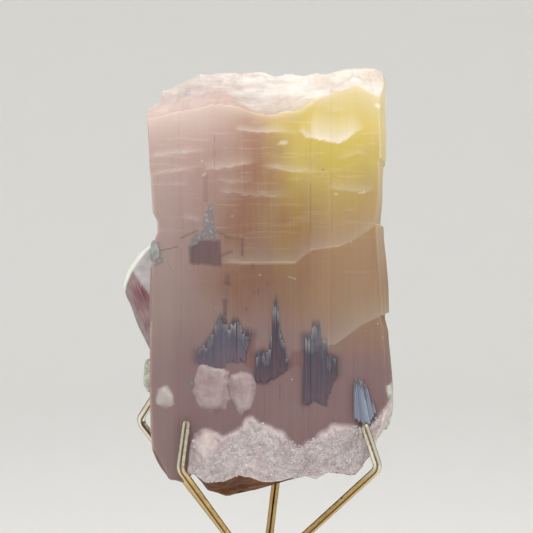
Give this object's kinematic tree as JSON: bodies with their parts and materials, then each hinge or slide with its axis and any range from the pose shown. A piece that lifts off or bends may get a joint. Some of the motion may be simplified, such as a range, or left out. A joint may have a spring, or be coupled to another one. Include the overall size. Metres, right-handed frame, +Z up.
{
  "type": "bicolor tourmaline crystal on a wire stand",
  "caption": "Broad striated pink and yellow crystal with dark blade sprays and a granular foot, upright in a bent brass wire stand.",
  "frame": {"origin": "on the table, under the axis of the stand, which is the middle of the footprint of its four feet", "axes": "+Z up along the crystal's length; the broad striated face of the crystal looks along -Y; +X to the right seen from the front"},
  "size_m": [0.063, 0.063, 0.1503],
  "materials": {
    "stone": "milky translucent crystal with a fine vertical striation, frosty where it is broken",
    "brass": "polished square wire with fine hammer marks on the prongs"
  },
  "bodies": {
    "root": {"crystal": "stone", "stand_wire_front_left": "brass", "stand_wire_front_right": "brass", "stand_wire_back_left": "brass", "stand_wire_back_right": "brass", "stand_collar": "brass"}
  },
  "joints": []
}
